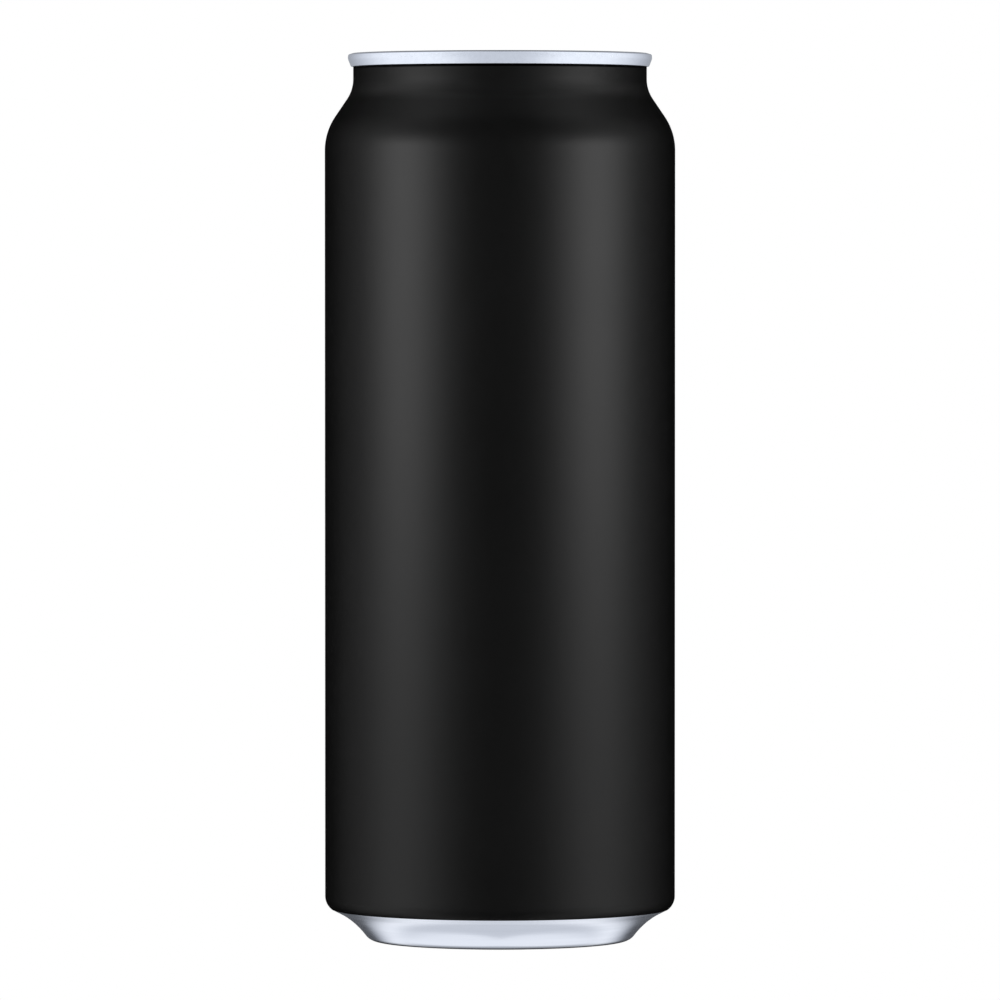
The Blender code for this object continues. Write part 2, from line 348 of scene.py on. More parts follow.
def makeBlackLacquer():
    material, tree, shader, coordinates = startMaterial("blackLacquer")
    wear = placeGroup(tree, handling, coordinates.outputs["Object"], Smudge_Scale=lacquer["smudgeScale"])
    smudge = wear.outputs["Smudge"]
    tree.links.new(
        blendColours(tree, smudge, lacquer["colour"], lacquer["smudgeColour"]), shader.inputs["Base Color"]
    )
    split = newNode(tree, "ShaderNodeSeparateXYZ")
    tree.links.new(coordinates.outputs["Object"], split.inputs[0])
    necked = rangeNode(tree, split.outputs["Z"], *lacquer["neckedHeight"], 0, lacquer["neckRoughness"])
    below = rangeNode(tree, split.outputs["Z"], cadHigh.z - 10 * mm, cadHigh.z, 10, 0)
    # painted shade and highlight: the glaze weight drops just under the seam and rises round the neck's
    # bend
    tree.links.new(curveNode(tree, below, lacquer["glazeAndPaintedNeckSheen"]), shader.inputs["Coat Weight"])
    shader.inputs["Coat Roughness"].default_value = lacquer["glazeRoughness"]
    shader.inputs["Specular IOR Level"].default_value = lacquer["specularLevel"]
    # painted shade: just under the seam the lacquer turns metallic black, so it mirrors nothing there
    tree.links.new(rangeNode(tree, below, *lacquer["paintedSeamShade"], 1, 0), shader.inputs["Metallic"])
    smooth = lacquer["roughness"]
    smudged = rangeNode(tree, smudge, 0, 1, smooth, smooth + lacquer["smudgeRoughness"])
    tree.links.new(mathNode(tree, "ADD", smudged, necked), shader.inputs["Roughness"])
    # the levelled film keeps a faint trace of the drawn wall's upright lines
    lines = placeGroup(
        tree, metalLines, coordinates.outputs["Object"], Stretch=lacquer["lineStretch"], Depth=1.0
    )
    tree.links.new(bumpNode(tree, lines.outputs["Height"], lacquer["lineHeight"]), shader.inputs["Normal"])
    return material


aluminium = {
    "colour": (0.74, 0.77, 0.84),
    "duller": (0.66, 0.69, 0.76),
    "rolledRoughness": 0.14,
    "drawnRoughness": 0.13,
    "lineRoughness": 0.06,
    "lineTone": (0.3, 0.7),        # range of the lines' tone over which the roughness changes
    "rolledLineHeight": 0.000004,
    "rolledStretch": (9000, 120, 9000),
    "drawnLineHeight": 0.000005,
    "drawnStretch": (7000, 3.0, 7000),
    # how strongly painted shade darkens the seam's outer top edge, by millimetres below its top
    "paintedEdgeShade": ((0.0, 0.84), (0.1, 0.76), (0.2, 0.4), (0.3, 0.14), (0.42, 0.0), (0.5, 0.0)),
    "paintedEdgeShadeFrom": (27.8, 28.05),   # radius where it starts
    "paintedEdgeShadeColour": (0.02, 0.02, 0.022),
}


def makeRolledAluminium():
    # lid and tab, stamped from rolled sheet whose lines run front to back
    material, tree, shader, coordinates = startMaterial("rolledAluminium")
    shader.inputs["Metallic"].default_value = 1.0
    lines = placeGroup(
        tree, metalLines, coordinates.outputs["Object"], Stretch=aluminium["rolledStretch"], Depth=1.0
    )
    tone = blendColours(tree, lines.outputs["Tone"], aluminium["duller"], aluminium["colour"])
    split = newNode(tree, "ShaderNodeSeparateXYZ")
    tree.links.new(coordinates.outputs["Object"], split.inputs[0])
    # painted shade: the seam's outer top edge is blended towards a dark colour
    below = rangeNode(tree, split.outputs["Z"], cadHigh.z - 0.5 * mm, cadHigh.z, 0.5, 0)
    flat = newNode(tree, "ShaderNodeCombineXYZ")
    tree.links.new(split.outputs["X"], flat.inputs["X"])
    tree.links.new(split.outputs["Y"], flat.inputs["Y"])
    away = newNode(tree, "ShaderNodeVectorMath", operation="LENGTH")
    tree.links.new(flat.outputs[0], away.inputs[0])
    inner, outer = [radius * mm for radius in aluminium["paintedEdgeShadeFrom"]]
    outside = rangeNode(tree, away.outputs["Value"], inner, outer, 0, 1)
    paintedEdgeShade = mathNode(tree, "MULTIPLY", outside, curveNode(tree, below, aluminium["paintedEdgeShade"]))
    tree.links.new(blendColours(tree, paintedEdgeShade, tone, aluminium["paintedEdgeShadeColour"]), shader.inputs["Base Color"])
    low, high = aluminium["rolledRoughness"], aluminium["rolledRoughness"] + aluminium["lineRoughness"]
    roughness = rangeNode(tree, lines.outputs["Tone"], *aluminium["lineTone"], high, low)
    tree.links.new(roughness, shader.inputs["Roughness"])
    bump = bumpNode(tree, lines.outputs["Height"], aluminium["rolledLineHeight"])
    tree.links.new(bump, shader.inputs["Normal"])
    return material


def makeDrawnAluminium():
    # bare base of the body, whose lines run round the can
    material, tree, shader, coordinates = startMaterial("drawnAluminium")
    shader.inputs["Metallic"].default_value = 1.0
    split = newNode(tree, "ShaderNodeSeparateXYZ")
    tree.links.new(coordinates.outputs["Object"], split.inputs[0])
    across = mathNode(tree, "MULTIPLY", split.outputs["X"], split.outputs["X"])
    along = mathNode(tree, "MULTIPLY", split.outputs["Y"], split.outputs["Y"])
    radius = mathNode(tree, "SQRT", mathNode(tree, "ADD", across, along))
    angle = mathNode(tree, "ARCTAN2", split.outputs["Y"], split.outputs["X"])
    turned = newNode(tree, "ShaderNodeCombineXYZ")
    tree.links.new(radius, turned.inputs["X"])
    tree.links.new(angle, turned.inputs["Y"])
    tree.links.new(split.outputs["Z"], turned.inputs["Z"])
    lines = placeGroup(
        tree, metalLines, turned.outputs[0], Stretch=aluminium["drawnStretch"], Depth=1.0
    )
    tree.links.new(
        blendColours(tree, lines.outputs["Tone"], aluminium["duller"], aluminium["colour"]),
        shader.inputs["Base Color"],
    )
    low, high = aluminium["drawnRoughness"], aluminium["drawnRoughness"] + aluminium["lineRoughness"]
    roughness = rangeNode(tree, lines.outputs["Tone"], *aluminium["lineTone"], high, low)
    tree.links.new(roughness, shader.inputs["Roughness"])
    bump = bumpNode(tree, lines.outputs["Height"], aluminium["drawnLineHeight"])
    tree.links.new(bump, shader.inputs["Normal"])
    return material


blackLacquer = makeBlackLacquer()
rolledAluminium = makeRolledAluminium()
drawnAluminium = makeDrawnAluminium()
print("materials ready")


body = {
    "height": cadHigh.z / mm,
    "wallRadius": cadHigh.x / mm,
    "footRadius": 23.3,
    "footFlat": 0.5,
    "footRound": 2.7,
    "footInnerRound": 1.3,
    "waistRound": 13.9,
    "waistLowSlope": 36.9,
    "waistHighSlope": 63.7,
    "heelRound": 3.1,
    "domeHeight": 10.3,
    "domeRound": 44.0,
    "domeEdge": 20.3,
    "domeEdgeRound": 1.4,
    "shoulderStart": 149.4,
    "shoulderRound": 11.5,
    "shoulderSlope": 34.1,
    "neckRound": 6.8,
    "neckRadius": 27.73,
    "neckTopDepth": 1.3,     # below the rim, inside the seam
    # (radius, depth below the rim) of the body's hidden top, under the lid
    "underLid": ((0, 5.7), (23.2, 5.7), (24.0, 7.5), (25.2, 7.5), (27.2, 2.9), (27.2, 1.3)),
    "pointsRound": 256,
}

coat = {
    "thickness": 0.012,
    "innerShare": 0.9,       # of the thickness, how far in the skin's inner side lies
    "edgeAngle": 51.0,       # degrees round the heel, where the black ends
    "grooveHeight": 0.4,     # shallow groove in the metal, straight below the edge
    "grooveDepth": 0.076,
    "grooveEnd": 2.2,        # height where the groove has run out
}


def neckPath():
    slope = math.radians(body["shoulderSlope"])
    shoulderCentre = (body["wallRadius"] - body["shoulderRound"], body["shoulderStart"])
    shoulder = arcPoints(shoulderCentre, body["shoulderRound"], body["shoulderSlope"], 0, 20)
    bendFoot = body["neckRadius"] + body["neckRound"] * (1 - math.cos(slope))
    rise = (shoulder[0][0] - bendFoot) / math.tan(slope)
    bendCentre = (
        body["neckRadius"] + body["neckRound"],
        shoulder[0][1] + rise + body["neckRound"] * math.sin(slope),
    )
    neck = arcPoints(bendCentre, body["neckRound"], 180, 180 + body["shoulderSlope"], 16)
    return [(body["neckRadius"], body["height"] - body["neckTopDepth"])] + neck + shoulder


def heelPath():
    low = math.radians(body["waistLowSlope"])
    high = math.radians(body["waistHighSlope"])
    footRound = body["footRound"]
    foot = arcPoints((body["footRadius"], footRound), footRound, -body["waistLowSlope"], -90, 12)
    waistCentre = (
        foot[0][0] + body["waistRound"] * math.cos(low),
        foot[0][1] - body["waistRound"] * math.sin(low),
    )
    waist = arcPoints(
        waistCentre, body["waistRound"], 180 - body["waistHighSlope"], 180 - body["waistLowSlope"], 16
    )
    heelFoot = body["wallRadius"] - body["heelRound"] * (1 - math.cos(high))
    rise = (heelFoot - waist[0][0]) / math.tan(high)
    heelCentre = (
        body["wallRadius"] - body["heelRound"],
        waist[0][1] + rise + body["heelRound"] * math.sin(high),
    )
    coated = arcPoints(heelCentre, body["heelRound"], 0, -coat["edgeAngle"], 16)
    bare = arcPoints(heelCentre, body["heelRound"], -coat["edgeAngle"], -body["waistHighSlope"], 12)
    return coated, bare[1:] + waist[:-1] + foot


def domePath():
    footEdge = body["footRadius"] - body["footFlat"]
    inner = body["footInnerRound"]
    foot = arcPoints((footEdge, inner), inner, -90, -180, 8)
    centre = body["domeHeight"] - body["domeRound"]
    edgeAngle = math.degrees(math.acos(body["domeEdge"] / body["domeRound"]))
    dome = arcPoints((0, centre), body["domeRound"], edgeAngle, 90, 24)
    wallTop = (foot[-1][0], dome[0][1] - 0.2)
    corner = roundCorners([foot[-1], (*wallTop, body["domeEdgeRound"]), dome[1]], 8)
    return foot + corner[1:-1] + dome[1:-1] + [(0, body["domeHeight"])]


coatedHeel, bareBase = heelPath()
coatEdge = coatedHeel[-1]


def metalInset(point):
    # the metal lies just under the coat, dips below its edge and comes out to full size further down
    height = point[1]
    if height >= coatEdge[1]:
        return -coat["thickness"]
    grooveLow = coatEdge[1] - coat["grooveHeight"]
    if height > grooveLow:
        share = (coatEdge[1] - height) / coat["grooveHeight"]
        return -coat["thickness"] - coat["grooveDepth"] * (1 - (1 - share) ** 2)
    return -(coat["thickness"] + coat["grooveDepth"]) * smoothStep(coat["grooveEnd"], grooveLow, height)


def makeBody():
    skin = neckPath() + coatedHeel + bareBase
    metal = moveSideways(skin, metalInset)
    top = [(radius, body["height"] - depth) for radius, depth in body["underLid"]]
    path = top + metal + domePath()
    mesh = bmesh.new()
    addTurned(mesh, path, body["pointsRound"])
    return makePiece("canWall", mesh, drawnAluminium)


def makeCoat():
    outer = neckPath() + coatedHeel
    inner = moveSideways(outer, lambda point: -coat["thickness"] * coat["innerShare"])
    mesh = bmesh.new()
    addTurned(mesh, outer + inner[::-1], body["pointsRound"], closed=True)
    return makePiece("blackCoat", mesh, blackLacquer)


canWall = makeBody()
blackCoat = makeCoat()
print("body and coat ready, coat ends at", [round(value, 2) for value in coatEdge])


lid = {
    "seamRadius": 28.75,
    "seamHeight": 2.54,
    "seamCrown": 27.7,       # radius of the seam's highest circle
    "seamTopDrop": 0.28,     # from there to its outer edge
    "seamTopRound": 0.28,
    "seamSideDepth": 1.05,   # corner where the side turns in, below the rim
    "seamSideRound": 1.4,
    "seamFootRadius": 28.15,
    "seamFootRound": 0.22,
    "seamBore": 27.0,
    "skirtBore": 27.78,
    "wallTopDepth": 1.3,
    "grooveDepth": 6.6,
    "grooveRadius": 24.15,
    "grooveRound": 0.5,
    "crownDepth": 4.3,       # flat of the panel, below the rim
    "sheetDepth": 1.1,       # from the panel's top to its underside
    "rivetDepth": 2.7,       # rivet's top, below the rim
    "rivetPoints": 72,
    "panelRadius": 22.7,
    "recessDepth": 0.35,     # shallow recess round mouth and tab
    "recessFront": (0, -8.6, 12.9),
    "recessBack": (0, 10.2, 9.0),
    "recessSlope": 1.1,
    "mouthCentre": (0, -11.9),
    "mouthHalf": (9.6, 7.9),
    "mouthFullness": 2.25,
    "scoreWidth": 0.22,
    "scoreDepth": 0.12,
    "scoreSoftness": 0.02,   # half width of the groove's flat middle
    "scoreHinge": 118,       # degrees round the mouth, where the outer groove is left out
    "scoreHingeFade": (6, 14),
    "innerScore": 0.905,
    "innerScoreShare": 0.6,  # of the outer groove's depth
    "mouthBead": 0.68,
    "mouthBeadHalfWidth": 0.085,
    "mouthBeadHeight": 0.34,
    "mouthBeadFlat": 0.15,   # share of the half width that is level
    "bossFlat": 2.4,
    "bossRadius": 4.6,
    "bossHeight": 0.42,
    "wellCentre": (0, 14.4),
    "wellRadius": (6.4, 4.6),
    "wellDepth": 0.65,
    "wellFlat": 0.15,        # share of the radius that is level
    "sideBeadFrom": (16.6, -1.5),
    "sideBeadTo": (15.6, 7.5),
    "sideBeadFlat": 0.2,
    "sideBeadRadius": 1.5,
    "sideBeadHeight": 0.35,
    "pointsRound": 288,
    "panelSteps": 96,        # rings between the mouth and the panel's edge
}


def recessDistance(x, y):
    # signed distance to a capsule with a wide front and a narrow back
    frontX, frontY, frontRadius = lid["recessFront"]
    _, backY, backRadius = lid["recessBack"]
    length = backY - frontY
    lean = (frontRadius - backRadius) / length
    upright = math.sqrt(1 - lean * lean)
    x, y = abs(x - frontX), y - frontY
    along = -lean * x + upright * y
    if along < 0:
        return math.hypot(x, y) - frontRadius
    if along > upright * length:
        return math.hypot(x, y - length) - backRadius
    return upright * x + lean * y - frontRadius


def sideBead(x, y):
    start, end = Vector(lid["sideBeadFrom"]), Vector(lid["sideBeadTo"])
    point = Vector((abs(x), y))
    share = min(max((point - start).dot(end - start) / (end - start).length_squared, 0), 1)
    distance = (point - start.lerp(end, share)).length
    return lid["sideBeadHeight"] * (1 - smoothStep(lid["sideBeadFlat"], lid["sideBeadRadius"], distance))


def panelHeight(x, y):
    slope = lid["recessSlope"] / 2
    height = lid["recessDepth"] * smoothStep(-slope, slope, recessDistance(x, y))
    height -= lid["recessDepth"]
    height += sideBead(x, y)
    bossEdge = smoothStep(lid["bossFlat"], lid["bossRadius"], math.hypot(x, y))
    height += lid["bossHeight"] * (1 - bossEdge)
    wellX = (x - lid["wellCentre"][0]) / lid["wellRadius"][0]
    wellY = (y - lid["wellCentre"][1]) / lid["wellRadius"][1]
    wellEdge = smoothStep(lid["wellFlat"], 1.0, math.hypot(wellX, wellY))
    height -= lid["wellDepth"] * (1 - wellEdge)
    return height


def mouthPoint(angle, scale):
    power = 2 / lid["mouthFullness"]
    cosine, sine = math.cos(angle), math.sin(angle)
    x = lid["mouthHalf"][0] * math.copysign(abs(cosine) ** power, cosine) * scale
    y = lid["mouthHalf"][1] * math.copysign(abs(sine) ** power, sine) * scale
    return lid["mouthCentre"][0] + x, lid["mouthCentre"][1] + y


def mouthRelief(angle, scale):
    # two scored grooves, the outer one fading out at the hinge, and a raised bead on the tear panel
    size = sum(lid["mouthHalf"]) / 2
    hinge = math.degrees(math.atan2(math.sin(angle), math.cos(angle)))
    hingeFade = smoothStep(*lid["scoreHingeFade"], abs(hinge - lid["scoreHinge"]))
    relief = 0
    outerScore = (1.0, lid["scoreDepth"] * hingeFade)
    innerScore = (lid["innerScore"], lid["scoreDepth"] * lid["innerScoreShare"])
    for place, depth in (outerScore, innerScore):
        away = abs(scale - place) * size
        relief -= depth * (1 - smoothStep(lid["scoreSoftness"], lid["scoreWidth"], away))
    beadAway = abs(scale - lid["mouthBead"]) / lid["mouthBeadHalfWidth"]
    relief += lid["mouthBeadHeight"] * (1 - smoothStep(lid["mouthBeadFlat"], 1.0, beadAway))
    return relief


def mouthScales():
    # closely spaced rings at the grooves, wider ones between them
    fine = [-0.03, -0.022, -0.015, -0.009, -0.004, 0, 0.004, 0.009, 0.015, 0.022, 0.03]
    scales = [0.07 * step for step in range(1, 8)]
    scales += [0.5 + 0.017 * step for step in range(1, 21)]
    scales += [lid["innerScore"] + offset for offset in fine]
    scales += [0.95, 0.96]
    scales += [1 + offset for offset in fine]
    return sorted(scales)


def panelRings():
    crown = body["height"] - lid["crownDepth"]
    count = lid["pointsRound"]
    angles = [2 * math.pi * step / count for step in range(count)]
    centre = lid["mouthCentre"]
    rings = [[(*centre, crown + panelHeight(*centre) + mouthRelief(0, 0))]]
    scales = mouthScales()
    for scale in scales:
        ring = []
        for angle in angles:
            x, y = mouthPoint(angle, scale)
            ring.append((x, y, crown + panelHeight(x, y) + mouthRelief(angle, scale)))
        rings.append(ring)
    for step in range(1, lid["panelSteps"] + 1):
        share = step / lid["panelSteps"]
        ring = []
        for angle in angles:
            fromX, fromY = mouthPoint(angle, scales[-1])
            x = fromX + (lid["panelRadius"] * math.cos(angle) - fromX) * share
            y = fromY + (lid["panelRadius"] * math.sin(angle) - fromY) * share
            ring.append((x, y, crown + panelHeight(x, y)))
        rings.append(ring)
    return rings


def rimPath():
    top = body["height"]
    crown = top - lid["crownDepth"]
    groove = top - lid["grooveDepth"]
    seamFoot = top - lid["seamHeight"]
    corners = [
        (lid["panelRadius"], crown, 0),
        (23.5, crown, 0.7),
        (lid["grooveRadius"] - 0.5, groove, lid["grooveRound"]),
        (lid["grooveRadius"] + 0.5, groove, lid["grooveRound"]),
        (lid["seamBore"], top - lid["wallTopDepth"], 0.7),
        (lid["seamBore"], top - 0.14, 0.4),
        (lid["seamCrown"], top + 0.025, 0.9),
        (lid["seamRadius"] - 0.08, top - lid["seamTopDrop"], lid["seamTopRound"]),
        (lid["seamRadius"], top - lid["seamSideDepth"], lid["seamSideRound"]),
        (lid["seamFootRadius"], seamFoot, lid["seamFootRound"]),
        (lid["skirtBore"], seamFoot, 0.03),
        (lid["skirtBore"], seamFoot + 1.2, 0),
    ]
    return roundCorners(corners, 8)[1:]


def rivetPath():
    top = body["height"] - lid["rivetDepth"]
    return roundCorners(
        [
            (0, top - 0.16, 0),
            (1.25, top - 0.16, 0.4),
            (1.6, top, 0.3),
            (2.7, top, 0.22),
            (2.7, top - 0.45, 0.2),
            (1.7, top - 0.45, 0.1),
            (1.7, top - 1.6, 0),
        ],
        6,
    )


def makeLid():
    count = lid["pointsRound"]
    mesh = bmesh.new()
    rings = panelRings() + [ringOf(radius, height, count) for radius, height in rimPath()]
    under = body["height"] - lid["crownDepth"] - lid["sheetDepth"]
    underside = ((27.4, rings[-1][0][2]), (24.4, body["height"] - 6.9), (22.5, under), (0, under))
    rings += [ringOf(radius, height, count) for radius, height in underside]
    addRings(mesh, rings)
    addTurned(mesh, rivetPath(), lid["rivetPoints"])
    return makePiece("lidSheet", mesh, rolledAluminium, 50)


lidSheet = makeLid()
print("lid ready")


tab = {
    "bottom": cadHigh.z / mm - 3.98,
    "top": cadHigh.z / mm - 2.7,
    "noseCentre": -1.2,
    "noseRadius": 7.85,
    "heelCentre": 9.6,
    "heelRadius": 6.85,
    "curlHalfWidth": 0.9,
    "plateDrop": 0.2,        # plate's face, below the tab's top
    "plateThickness": 0.3,
    "plateHalfLength": 12.5,
    "holeCentre": 9.9,
    "holeHalf": (4.5, 4.1),
    "holeRound": 3.4,
    "holeCurl": 0.62,
    "holeCurlEnds": (0.1, 0.06),   # above the tab's bottom and below its top
    "windowCentre": -0.9,
    "windowHalf": (4.9, 4.7),
    "windowRound": 3.6,
    "windowCurl": 0.5,
    "windowCurlDrop": 0.16,        # below the tab's top
    "webBottom": cadHigh.z / mm - 3.78,
    "webTop": cadHigh.z / mm - 3.48,
    "slotRadius": 3.35,
    "slotWidth": 0.55,
    "slotSweep": 210,
}


def tabOutline():
    span = tab["heelCentre"] - tab["noseCentre"]
    lean = math.degrees(math.asin((tab["noseRadius"] - tab["heelRadius"]) / span))
    heelEnd = arcPoints((0, tab["heelCentre"]), tab["heelRadius"], lean, 180 - lean, 40)
    noseEnd = arcPoints((0, tab["noseCentre"]), tab["noseRadius"], 180 - lean, 360 + lean, 48)
    side = 12
    outline = heelEnd[:]
    for step in range(1, side):
        outline.append(tuple(Vector(heelEnd[-1]).lerp(Vector(noseEnd[0]), step / side)))
    outline += noseEnd
    for step in range(1, side):
        outline.append(tuple(Vector(noseEnd[-1]).lerp(Vector(heelEnd[0]), step / side)))
    return outline


def roundedBox(centreY, half, rounding, steps=14):
    points = []
    for quarter in range(4):
        sideX = 1 if quarter in (0, 3) else -1
        sideY = 1 if quarter in (0, 1) else -1
        centre = (sideX * (half[0] - rounding), centreY + sideY * (half[1] - rounding))
        points += arcPoints(centre, rounding, quarter * 90, quarter * 90 + 90, steps)
    return points


def curlSection(middle, halfWidth, low, high, fullness=2.6, steps=20):
    centre, half = (low + high) / 2, (high - low) / 2
    section = []
    for step in range(steps):
        angle = 2 * math.pi * step / steps
        cosine, sine = math.cos(angle), math.sin(angle)
        across = math.copysign(abs(cosine) ** (2 / fullness), cosine) * halfWidth
        upward = math.copysign(abs(sine) ** (2 / fullness), sine) * half
        section.append((middle - across, centre + upward))
    return section


def grow(outline, distance):
    # moves a closed anticlockwise outline outwards
    count = len(outline)
    grown = []
    for index, point in enumerate(outline):
        along = (Vector(outline[(index + 1) % count]) - Vector(outline[index - 1])).normalized()
        grown.append((point[0] + along.y * distance, point[1] - along.x * distance))
    return grown


def makeTab():
    outline = tabOutline()
    hole = roundedBox(tab["holeCentre"], tab["holeHalf"], tab["holeRound"])
    window = roundedBox(tab["windowCentre"], tab["windowHalf"], tab["windowRound"])
    mesh = bmesh.new()
    curl = tab["curlHalfWidth"]
    addLoopSweep(mesh, outline, curlSection(curl, curl, tab["bottom"], tab["top"]))
    holeCurl = tab["holeCurl"]
    holeLow, holeHigh = tab["bottom"] + tab["holeCurlEnds"][0], tab["top"] - tab["holeCurlEnds"][1]
    addLoopSweep(mesh, hole, curlSection(-holeCurl, holeCurl, holeLow, holeHigh))
    windowCurl = tab["windowCurl"]
    windowHigh = tab["top"] - tab["windowCurlDrop"]
    addLoopSweep(mesh, window, curlSection(-windowCurl, windowCurl, tab["webBottom"], windowHigh))
    face = tab["top"] - tab["plateDrop"]
    middle = tab["windowCentre"]
    narrower, shorter = 1 - curl / tab["noseRadius"], 1 - curl / tab["plateHalfLength"]
    edge = [(x * narrower, middle + (y - middle) * shorter) for x, y in outline]
    openings = [grow(hole, holeCurl), grow(window, windowCurl)]
    addPlate(mesh, [edge, *openings], face - tab["plateThickness"], face)
    slotInner = tab["slotRadius"] - tab["slotWidth"] / 2
    slotOuter = tab["slotRadius"] + tab["slotWidth"] / 2
    first, last = 90 - tab["slotSweep"] / 2, 90 + tab["slotSweep"] / 2
    slot = arcPoints((0, 0), slotOuter, first, last, 40) + arcPoints((0, 0), slotInner, last, first, 40)
    addPlate(mesh, [grow(window, windowCurl), slot], tab["webBottom"], tab["webTop"])
    bmesh.ops.recalc_face_normals(mesh, faces=mesh.faces[:])
    return makePiece("pullTab", mesh, rolledAluminium, 45)


pullTab = makeTab()
print("tab ready")


for piece in (canWall, blackCoat, lidSheet, pullTab):
    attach(piece, "root")
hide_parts("can_body")
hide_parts("can_body")
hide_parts("can_lid")
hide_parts("pull_tab")
print("pieces joined to the frame")


studio = {
    "floorSize": 14.0,
    "floorColour": (0.8, 0.8, 0.8),
    "floorRoughness": 0.9,
    "boxAzimuth": 61.5,
    "boxDistance": 0.45,
    "boxLow": 0.073,
    "boxHigh": 0.27,
    "boxWidth": 0.62,
    "boxSpread": 0.17,
    "boxStrength": 1.85,
    "lacquerTentRadius": 2.8,
    "sideAzimuth": 67,       # dim tall panels beside the boxes, for the lacquer
    "sideLean": 18,          # degrees further back at the top
    "sideSpread": 31,
    "sideSpreadAbove": 23,
    "sideSpreadEdge": (0.5, 0.95),   # heights of the direction between which it narrows
    "sideGlow": 0.6,
    "frontGlow": 0.062,
    "frontSpread": 45,
    "frontEdge": (0.3, 0.8),
    "frontAbove": 0.1,       # share of the front glow that is left high up
    "besideAzimuth": 116,
    "besideSpread": 11,
    "besideLeft": 0.078,
    "besideRight": 0.04,
    "besideEdge": (-0.5, 0.5),
    "roomGlow": 0.005,
    "roomEdge": (115, 150),
    "roomBehind": 0.15,      # share of the room's glow that is left behind
    "lacquerLevels": (
        (-1.0, 0.62), (-0.75, 0.8), (-0.5, 1.05), (-0.25, 1.1), (0.0, 1.0), (0.15, 0.98), (0.3, 0.88),
        (0.45, 0.73), (0.6, 0.6), (0.74, 0.68), (0.87, 1.12), (0.94, 1.12), (1.0, 0.5),
    ),
    "ambient": 0.8,
    # pale ground round the bare base, dim at its own level, and dimmer again behind
    "baseTentRadius": 3.2,
    "groundGlow": 1.1,
    "levelGlow": 0.1,
    "groundEdge": (-0.65, -0.35),    # height of the direction, -1 is straight down
    "skyGlow": 0.6,
    "skyEdge": (0.0, 0.3),
    "behindShare": 0.7,
    "behindEdge": (115, 150),        # degrees round from the front
    "behindTop": (-0.8, -0.65),
    # a broad soft panel on either side of the lid, dimmer in front and behind
    "lidTentRadius": 3.6,
    "lidFront": 0.8,
    "lidSide": 1.2,
    "lidBack": 0.4,
    "lidFrontEdge": (15, 60),
    "lidBackEdge": (90, 170),
    # dim parts of the surroundings are bluer, and the bright ones nearly white
    "dimTint": (0.95, 1.0, 1.1),
    "dimGlow": 0.15,
    "baseTint": (0.988, 1.0, 1.018),
    "lidTint": (0.98, 1.005, 1.035),
    "fullGlow": 1.15,
    # soft shade on the floor round the foot, in millimetres from the axis
    "footShadeInner": (23.15, 23.3),
    "footShadeOuter": (23.8, 25.2),
    "footShadePoints": 96,
    "footShadeHeight": -0.00005,
}


def gaussNode(tree, value, centre, spread):
    away = mathNode(tree, "DIVIDE", mathNode(tree, "SUBTRACT", value, centre), spread)
    squared = mathNode(tree, "MULTIPLY", away, away)
    return mathNode(tree, "EXPONENT", mathNode(tree, "MULTIPLY", squared, -1.0))


def directionNodes(tree, coordinates):
    # degrees from the front, 0 to 180 on either side, the direction's height, and its share to the right
    way = newNode(tree, "ShaderNodeVectorMath", operation="NORMALIZE")
    tree.links.new(coordinates.outputs["Object"], way.inputs[0])
    split = newNode(tree, "ShaderNodeSeparateXYZ")
    tree.links.new(way.outputs[0], split.inputs[0])
    forward = mathNode(tree, "MULTIPLY", split.outputs["Y"], -1.0)
    sideways = mathNode(tree, "ABSOLUTE", split.outputs["X"])
    azimuth = mathNode(tree, "DEGREES", mathNode(tree, "ARCTAN2", sideways, forward))
    return azimuth, split.outputs["Z"], split.outputs["X"]


def glowThrough(tree, strength, fullTint=None):
    # light that adds to what lies behind it, so nothing here hides anything else
    glow = newNode(tree, "ShaderNodeEmission")
    tree.links.new(strength, glow.inputs["Strength"])
    if fullTint:
        full = rangeNode(tree, strength, studio["dimGlow"], studio["fullGlow"], 0, 1)
        tree.links.new(blendColours(tree, full, studio["dimTint"], fullTint), glow.inputs["Color"])
    both = newNode(tree, "ShaderNodeAddShader")
    tree.links.new(glow.outputs[0], both.inputs[0])
    tree.links.new(newNode(tree, "ShaderNodeBsdfTransparent").outputs[0], both.inputs[1])
    tree.links.new(both.outputs[0], tree.nodes["Material Output"].inputs["Surface"])


def lightOnly(light, pieces):
    group = bpy.data.collections.new(light.name + "Lit")
    for piece in pieces:
        group.objects.link(piece)
    light.light_linking.receiver_collection = group
    light.visible_camera = False


def makeFloor():
    bpy.ops.mesh.primitive_plane_add(size=studio["floorSize"])
    floor = bpy.context.object
    floor.name = "studioFloor"
    material, tree, shader, _ = startMaterial("floorWhite")
    shader.inputs["Base Color"].default_value = (*studio["floorColour"], 1)
    shader.inputs["Roughness"].default_value = studio["floorRoughness"]
    shader.inputs["Specular IOR Level"].default_value = 0.0
    path = newNode(tree, "ShaderNodeLightPath")
    glow = newNode(tree, "ShaderNodeEmission")
    seen = newNode(tree, "ShaderNodeMixShader")
    tree.links.new(path.outputs["Is Camera Ray"], seen.inputs[0])
    tree.links.new(shader.outputs[0], seen.inputs[1])
    tree.links.new(glow.outputs[0], seen.inputs[2])
    # a view from below looks through it
    below = newNode(tree, "ShaderNodeNewGeometry").outputs["Backfacing"]
    mix = newNode(tree, "ShaderNodeMixShader")
    tree.links.new(below, mix.inputs[0])
    tree.links.new(seen.outputs[0], mix.inputs[1])
    tree.links.new(newNode(tree, "ShaderNodeBsdfTransparent").outputs[0], mix.inputs[2])
    tree.links.new(mix.outputs[0], tree.nodes["Material Output"].inputs["Surface"])
    floor.data.materials.append(material)
    floor.visible_glossy = False   # reflections come from the tents


